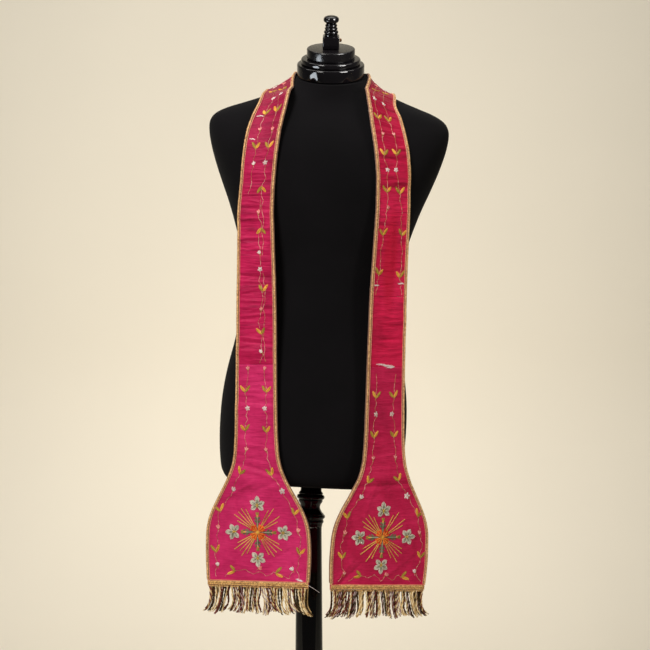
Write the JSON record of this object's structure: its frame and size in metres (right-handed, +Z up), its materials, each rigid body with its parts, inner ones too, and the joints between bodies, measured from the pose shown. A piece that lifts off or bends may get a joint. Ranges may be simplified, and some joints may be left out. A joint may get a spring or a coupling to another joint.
{
  "type": "clerical stole on a dress form",
  "caption": "Silk stole with spade ends, braid edging, embroidery and fringe, hanging from the neck of a limbless dress form on a turned post and round foot.",
  "frame": {"origin": "centre of the stand's foot, on the floor", "axes": "+Z up along the post; -Y is the front of the dress form, +X is the viewer's right"},
  "size_m": [0.4342, 0.38, 1.4922],
  "materials": {
    "silk": "crimson silk with a soft sheen, creased",
    "braid": "gold-beige corded braid",
    "fringe": "twisted threads in cream, gold, maroon and dark green",
    "jersey": "matte black jersey",
    "lacquer": "glossy black lacquer",
    "brass": "dull"
  },
  "bodies": {
    "root": {"torso": "jersey", "neck_cap": "lacquer", "finial_block": "lacquer", "finial_knob": "lacquer", "finial_screw": "brass", "post_collar": "lacquer", "post": "lacquer", "foot": "lacquer", "left_end": "silk", "left_middle": "silk", "left_upper": "silk", "right_upper": "silk", "right_middle": "silk", "right_end": "silk", "left_inner_braid": "braid", "left_outer_braid": "braid", "left_hem_braid": "braid", "right_inner_braid": "braid", "right_outer_braid": "braid", "right_hem_braid": "braid", "left_fringe": "fringe", "right_fringe": "fringe"}
  },
  "joints": []
}
